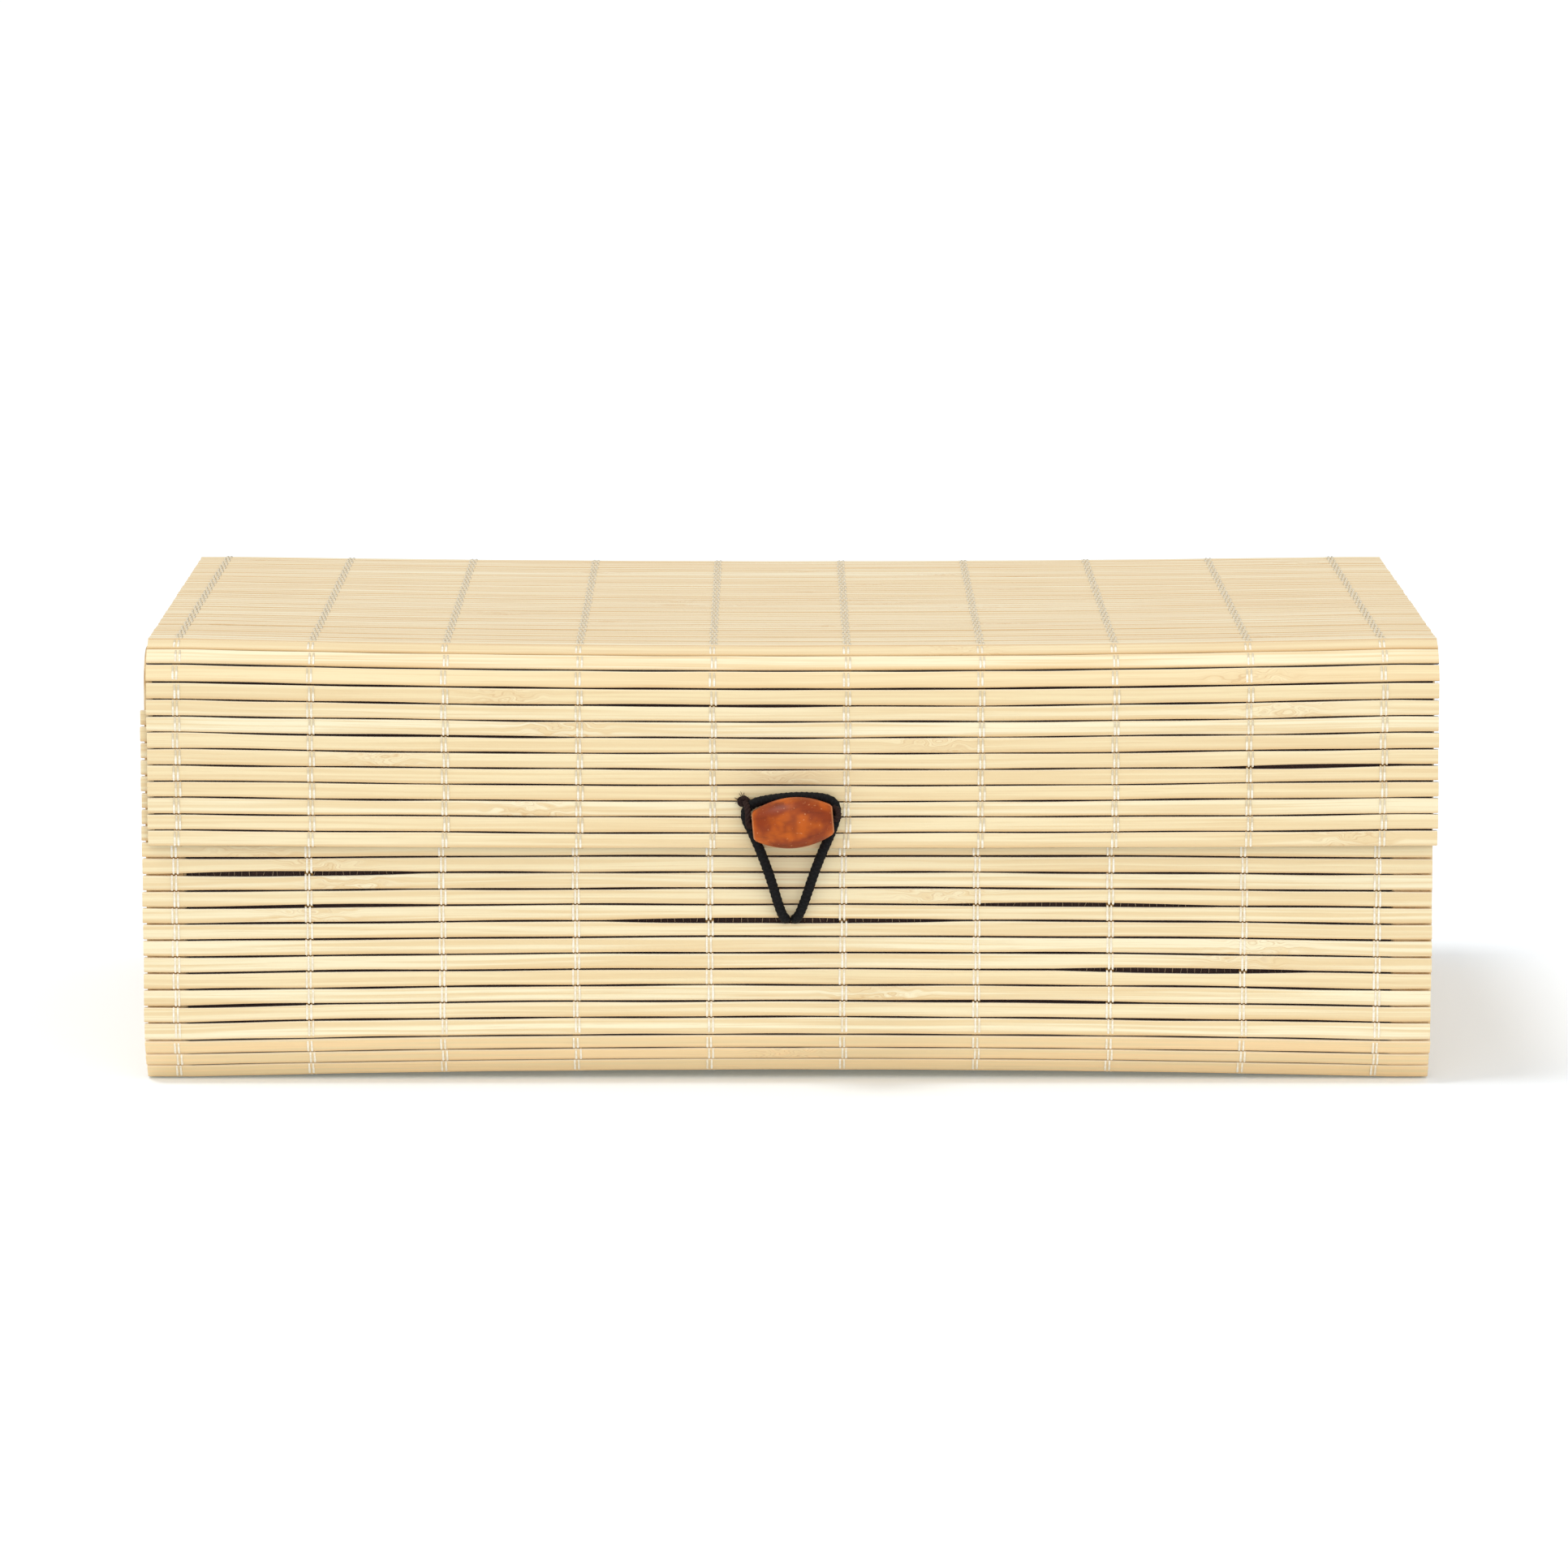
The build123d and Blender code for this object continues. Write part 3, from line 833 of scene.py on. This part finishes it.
def add_thread(mesh, runs, x, strand):
    """One warp thread over and under the slats of some runs that follow each other."""
    path, heights, steps, places = [], [], [], []
    for run in runs:
        place = thread_place(run.body)
        for number in range(run.count):
            over = (run.first_slat + number + strand) % 2 == 0
            sway = random.normal(0, 0.05)
            for along, out in thread_line(run, number, x, over):
                path.append(placed(run, along, out, x + sway))
                heights.append((out - cloth_thickness / 2) / run.thickness)
                steps.append(along - number * run.pitch)
                places.append(place)
    last = runs[-1]
    path.append(placed(last, last.length, cloth_thickness / 2 + 0.45 * last.thickness, x))
    heights.append(0.45)
    steps.append(last.pitch)
    places.append(place)
    path = np.array(path)
    tangents = np.gradient(path[:, 1:], axis=0)
    tangents /= np.linalg.norm(tangents, axis=1)[:, None]
    normals = np.stack([np.zeros(len(path)), -tangents[:, 1], tangents[:, 0]], axis=-1)[:, None]
    angle = np.linspace(0, 2 * pi, 6, endpoint=False)[None, :, None]
    swell = 1 + 0.3 * np.sin(pi * np.clip((np.array(steps) - 1.4) / 2.4, 0, 1))
    wide = swell[:, None, None] * np.array([thread_width / 2 * MM, 0, 0])
    rings = path[:, None] + np.cos(angle) * wide + np.sin(angle) * normals * thread_thickness / 2 * MM
    marks = np.stack([steps, heights, places], axis=-1)[:, None]
    mesh.add(rings, strand=np.broadcast_to(marks, (*rings.shape[:2], 3)))


slats_before = 0
for run in mat:
    run.first_slat = slats_before
    slats_before += run.count

thread_pieces = [
    ("box", "warp_threads_body", "body_threads"),
    *[(f"hinge_link_{k}", f"warp_threads_hinge_{k}", f"hinge_threads_{k}") for k in links],
    ("lid", "warp_threads_lid", "lid_threads"),
    *[(f"fold_link_{k}", f"warp_threads_fold_{k}", f"fold_threads_{k}") for k in links],
    ("flap", "warp_threads_flap", "flap_threads"),
]
for body, name, node in thread_pieces:
    mesh = Tubes()
    runs = [run for run in mat if run.body == body]
    for x in column_x:
        for strand, offset in enumerate(thread_offsets):
            add_thread(mesh, runs, x + offset, strand)
    carry(mesh.piece(name, thread_white, sharp=70), body, "warp_thread", node)


# ---------- Backing cloth: one cloth in five pieces ---------------------------------------------

cloth_step = 1.0
body_half_width = box_length / 2 - panel_thickness - 0.4
lid_half_width = box_length / 2 - 1.5


def cloth_piece(name, stretches, shift=0.0):
    """A thin closed sheet of backing cloth that follows the mat and dips between its slats.

    It follows stretches of (run, from, to, half width).
    """
    rows = [(run, along, half_width) for run, start, end, half_width in stretches
            for along in np.linspace(start, end, max(2, round((end - start) / cloth_step) + 1))]
    s = np.linspace(-1, 1, 61)
    inner, outer, marks = [], [], []
    for run, along, half_width in rows:
        dip = 0.05 * np.cos(2 * pi * along / run.pitch)
        x = s * half_width + shift + 0.12 * np.sin(along * 0.9 + run.walked)
        for rows_out, out in ((inner, -cloth_thickness / 2 + 0.06 - dip), (outer, cloth_thickness / 2)):
            rows_out.append(bowed(run, along, out, x))
        marks.append(np.stack([x, np.full_like(x, run.walked + along), np.zeros_like(x)], axis=-1))
    rings = np.concatenate([np.array(outer), np.array(inner)[:, ::-1]], axis=1)
    marks = np.array(marks)
    mesh = Tubes()
    mesh.add(rings, weave=np.concatenate([marks, marks[:, ::-1]], axis=1))
    sheet = mesh.piece(name, cloth_brown, sharp=75)
    return sheet


def declare_cloth(nodes):
    """Hides the CAD nodes that a cloth stands for."""
    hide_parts(*nodes)


def bend_cloth(sheet, nodes):
    """Bakes a cloth's place into its mesh and hides the CAD nodes it stands for."""
    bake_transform(sheet)
    declare_cloth(nodes)


half_link = slat_pitch / 2
fold_cloth_reach = 5 * lid_run.pitch
hinge_cloth_reach = 5 * back_run.pitch

body_stretches = [(run, 0, run.length, body_half_width) for run in mat
                  if run.body == "box" and run is not back_run]
body_stretches += [(back_run, 0, back_run.length - hinge_cloth_reach, body_half_width)]
hinge_stretches = [(back_run, back_run.length - hinge_cloth_reach, back_run.length, body_half_width),
                   (hinge_runs[0], 0, slat_pitch, body_half_width),
                   (hinge_runs[1], 0, half_link, body_half_width)]
lid_stretches = [(hinge_runs[1], half_link, slat_pitch, body_half_width),
                 (hinge_runs[2], 0, slat_pitch, body_half_width),
                 (lid_run, 0, lid_run.length - fold_cloth_reach, lid_half_width)]
fold_stretches = [(lid_run, lid_run.length - fold_cloth_reach, lid_run.length, lid_half_width),
                  (fold_runs[0], 0, slat_pitch, lid_half_width),
                  (fold_runs[1], 0, half_link, lid_half_width)]
flap_stretches = [(fold_runs[1], half_link, slat_pitch, lid_half_width),
                  (fold_runs[2], 0, slat_pitch, lid_half_width),
                  (flap_run, 0, flap_run.length, lid_half_width)]

body_cloth = cloth_piece("cloth_body", body_stretches, body_shift)
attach(body_cloth, "box")
declare_cloth(["body_lining"])
bend_cloth(cloth_piece("cloth_hinge", hinge_stretches), ["hinge_cloth_1"])
bend_cloth(cloth_piece("cloth_lid", lid_stretches), ["hinge_cloth_2", "hinge_cloth_3", "lid_lining"])
bend_cloth(cloth_piece("cloth_fold", fold_stretches), ["fold_cloth_1"])
bend_cloth(cloth_piece("cloth_flap", flap_stretches), ["fold_cloth_2", "fold_cloth_3", "flap_lining"])


# Pale yarns of the cloth that show in the front wall's widest gaps
yarn_spacing = 1.8
yarn_gap_extra = 0.25
mesh = Tubes()
for node, gap, centre, half_length, extra in wide_gaps:
    if node == "front_wall_slats" and extra > yarn_gap_extra:
        for x in np.arange(centre - half_length * 0.8, centre + half_length * 0.8, yarn_spacing):
            x = x + random.normal(0, 0.15)
            lean = random.normal(0, 0.1)
            reach = random.uniform(0.4, 0.9)
            steps = np.linspace(-1, 1, 7)
            line = [placed(front_run, gap * front_run.pitch + step * reach,
                           cloth_thickness / 2 + 0.12 + 0.12 * (1 - step * step), x + lean * step)
                    for step in steps]
            rings = swept(line, random.uniform(0.05, 0.1) * MM, 6)
            mesh.add(rings, strand=(0.0, random.uniform(0, 1), x))
carry(mesh.piece("cloth_yarns", yarn_grey, sharp=70), "box", "lining_cloth")


# ---------- End panels ----------


def end_panel(node):
    """The CAD panel's shape with eased edges."""
    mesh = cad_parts[node].data.copy()
    mesh.materials.clear()
    mesh.materials.append(panel_wood)
    edit = bmesh.new()
    edit.from_mesh(mesh)
    bmesh.ops.remove_doubles(edit, verts=edit.verts, dist=0.01 * MM)
    bmesh.ops.dissolve_limit(edit, angle_limit=radians(1), verts=edit.verts, edges=edit.edges)
    bmesh.ops.translate(edit, verts=edit.verts, vec=(body_shift * MM, 0, 0))
    rims = [e for e in edit.edges if len(e.link_faces) == 2 and e.calc_face_angle() > radians(60)]
    bmesh.ops.bevel(edit, geom=rims, offset=0.35 * MM, segments=2, affect="EDGES")
    for face in edit.faces:
        face.material_index = 0
    edit.to_mesh(mesh)
    edit.free()
    mesh.shade_smooth()
    mesh.set_sharp_from_angle(angle=radians(30))
    panel = bpy.data.objects.new(node.replace("end_panel", "wood_panel"), mesh)
    bpy.context.scene.collection.objects.link(panel)
    carry(panel, "box", "end_panel_wood", node)


for side in ("left", "right"):
    end_panel(f"{side}_end_panel")


# ---------- Bead with its cord and knot ----------

bead_length = 20.0
bead_end_radius = 3.5
bore_radius = 1.5
bead_tilt = 5.0
bead_radius = (bead_high[1] - bead_low[1]) / 2
bead_centre = (bead_low + bead_high) / 2
bead_axis = np.array([cos(radians(bead_tilt)), 0, sin(radians(bead_tilt))])
bead_up = np.array([-sin(radians(bead_tilt)), 0, cos(radians(bead_tilt))])
bead_front = np.array([0, -1, 0])


def bead_outline():
    """(along, radius, rim) points from the left bore, over the barrel, to the right bore."""
    bulge = bead_radius - bead_end_radius
    outline = [(-bead_length / 2 + 0.3, bore_radius, 0.3), (-bead_length / 2, bore_radius + 0.35, 0.8),
               (-bead_length / 2, bead_end_radius - 0.45, 0.8)]
    for t in np.linspace(-1, 1, 41):
        ease = 0.25 * max(0.0, abs(t) - 0.95) / 0.05
        outline.append((t * bead_length / 2 - np.sign(t) * 0.1 * (abs(t) > 0.99),
                        bead_end_radius + bulge * (1 - t * t) - ease, float(abs(t) > 0.96)))
    mirrored = [(-along, radius, rim) for along, radius, rim in outline[:3]][::-1]
    return outline + mirrored


def bead_piece():
    """The turned bead, with a hole along it, as rings of points joined into a tube."""
    outline = np.array(bead_outline())
    angle = np.linspace(0, 2 * pi, 64, endpoint=False)
    wobble = 1 + 0.006 * np.sin(3 * angle + 0.5) + 0.004 * np.sin(5 * angle)
    along, radius = outline[:, 0, None], outline[:, 1, None] * wobble
    rings = (bead_centre + along[..., None] * bead_axis
             + (radius * np.cos(angle))[..., None] * bead_up
             + (radius * np.sin(angle))[..., None] * bead_front) * MM
    rows, around = radius.shape
    points = rings.reshape(-1, 3)
    index = np.arange(rows * around).reshape(rows, around)
    following = np.roll(index, -1, axis=0)
    faces = np.stack([index, np.roll(index, -1, 1), np.roll(following, -1, 1), following], axis=-1)
    turned = np.stack(np.broadcast_arrays(along, np.sin(angle) + np.cos(2 * angle) * 0.5,
                                          outline[:, 2, None]), axis=-1)
    bead = mesh_piece("turned_bead", points, faces.reshape(-1, 4).tolist(), [bead_wood],
                      {"turned": turned.reshape(-1, 3)}, sharp=50)
    carry(bead, "bead", "bead_wood", "bead")


bead_piece()

cord_diameter = 1.5
cord_reach = bead_length / 2 + cord_diameter
left_of_bead = bead_centre - bead_axis * cord_reach
right_of_bead = bead_centre + bead_axis * cord_reach
knot_low, knot_high = node_box("bead_cord_knot")
knot_centre = (knot_low + knot_high) / 2 + np.array([0.7, 0, -0.8])
flap_outer = knot_high[1]
cord_tail_x = 8.6
cord_route = [
    (knot_centre[0] + 0.4, knot_low[1] + 0.6, knot_centre[2]),
    (knot_centre[0] + 1.2, bead_centre[1] + 1.2, knot_centre[2] - 1.0),
    tuple(left_of_bead + bead_axis * 0.3),
    tuple(bead_centre - bead_axis * bead_length / 2),
    tuple(bead_centre + bead_axis * bead_length / 2),
    tuple(right_of_bead),
    (right_of_bead[0] - 0.4, bead_centre[1] + 3.0, right_of_bead[2] + 2.2),
    (cord_tail_x, flap_outer - 1.6, right_of_bead[2] + 2.4),
    (cord_tail_x, flap_outer + 0.2, right_of_bead[2] + 2.4),
]


def twisted(mesh, path, diameter, plies, lay):
    """Plies laid round each other along a path."""
    far = walked_lengths(path)
    frames = swept(path, 1.0, 4)
    side = frames[:, 0] - path
    other = frames[:, 1] - path
    for ply in range(plies):
        angle = (2 * pi * (far / lay + ply / plies))[:, None]
        line = path + (side * np.cos(angle) + other * np.sin(angle)) * diameter * 0.24 * MM
        rings = swept(line, diameter * 0.29 * MM, 8)
        marks = np.stack(np.broadcast_arrays(far[:, None], 0.5, ply), axis=-1)
        mesh.add(rings, strand=np.broadcast_to(marks, (*rings.shape[:2], 3)))


cord_path = evenly(spline_points("cord_line", cord_route, 12), 0.25)
mesh = Tubes()
twisted(mesh, cord_path, cord_diameter, 3, 3.6)
carry(mesh.piece("bead_cord_strands", cord_brown, sharp=80), "flap", "bead_cord", "bead_cord")


def frayed_knot():
    """An overhand knot pulled small against the flap, with frayed fibres."""
    mesh = Tubes()
    turn = np.linspace(0, 2 * pi * 1.35, 40)
    radius = 0.85
    lump = np.stack([knot_centre[0] + radius * np.cos(turn) * 1.1,
                     flap_outer - 0.85 - 0.28 * turn / pi,
                     knot_centre[2] + radius * np.sin(turn) * 0.9], axis=-1) * MM
    twisted(mesh, lump, cord_diameter * 0.95, 3, 3.0)
    for _ in range(26):
        angle = random.uniform(0, 2 * pi)
        reach = random.uniform(1.0, 2.4)
        start = knot_centre + np.array([0.7 * cos(angle), 0.6, 0.7 * sin(angle)])
        end = knot_centre + np.array([
            reach * cos(angle) - 0.3, random.uniform(-0.6, 0.9), reach * sin(angle) + 0.2])
        middle = (start + end) / 2 + random.normal(0, 0.3, 3)
        t = np.linspace(0, 1, 7)[:, None]
        line = ((1 - t) ** 2 * start + 2 * t * (1 - t) * middle + t * t * end) * MM
        line[:, 1] = np.minimum(line[:, 1], (flap_outer - 0.08) * MM)
        rings = swept(line, np.linspace(0.11, 0.05, 7) * MM, 5)
        mesh.add(rings, strand=(0.0, random.uniform(0, 1), angle))
    carry(mesh.piece("frayed_knot", cord_brown, sharp=80), "flap", "bead_cord", "bead_cord_knot")


frayed_knot()


def loop_end_knot():
    """The knot that holds the loop's ends inside the front wall."""
    low, high = node_box("loop_knot")
    centre, size = (low + high) / 2, (high - low) / 2
    turn = np.linspace(0, 2 * pi * 1.7, 60)
    line = np.stack([centre[0] + 1.15 * np.cos(turn), low[1] + 1.0 + 0.32 * turn / pi,
                     centre[2] + 0.5 + 1.15 * np.sin(turn)], axis=-1) * MM
    rings, marks = braided(evenly(line, 0.2), 1.9, 4, 5.0)
    mesh = Tubes()
    mesh.add(rings, strand=marks)
    carry(mesh.piece("loop_end_knot", elastic_black, sharp=80), "box", "elastic", "loop_knot")


loop_end_knot()
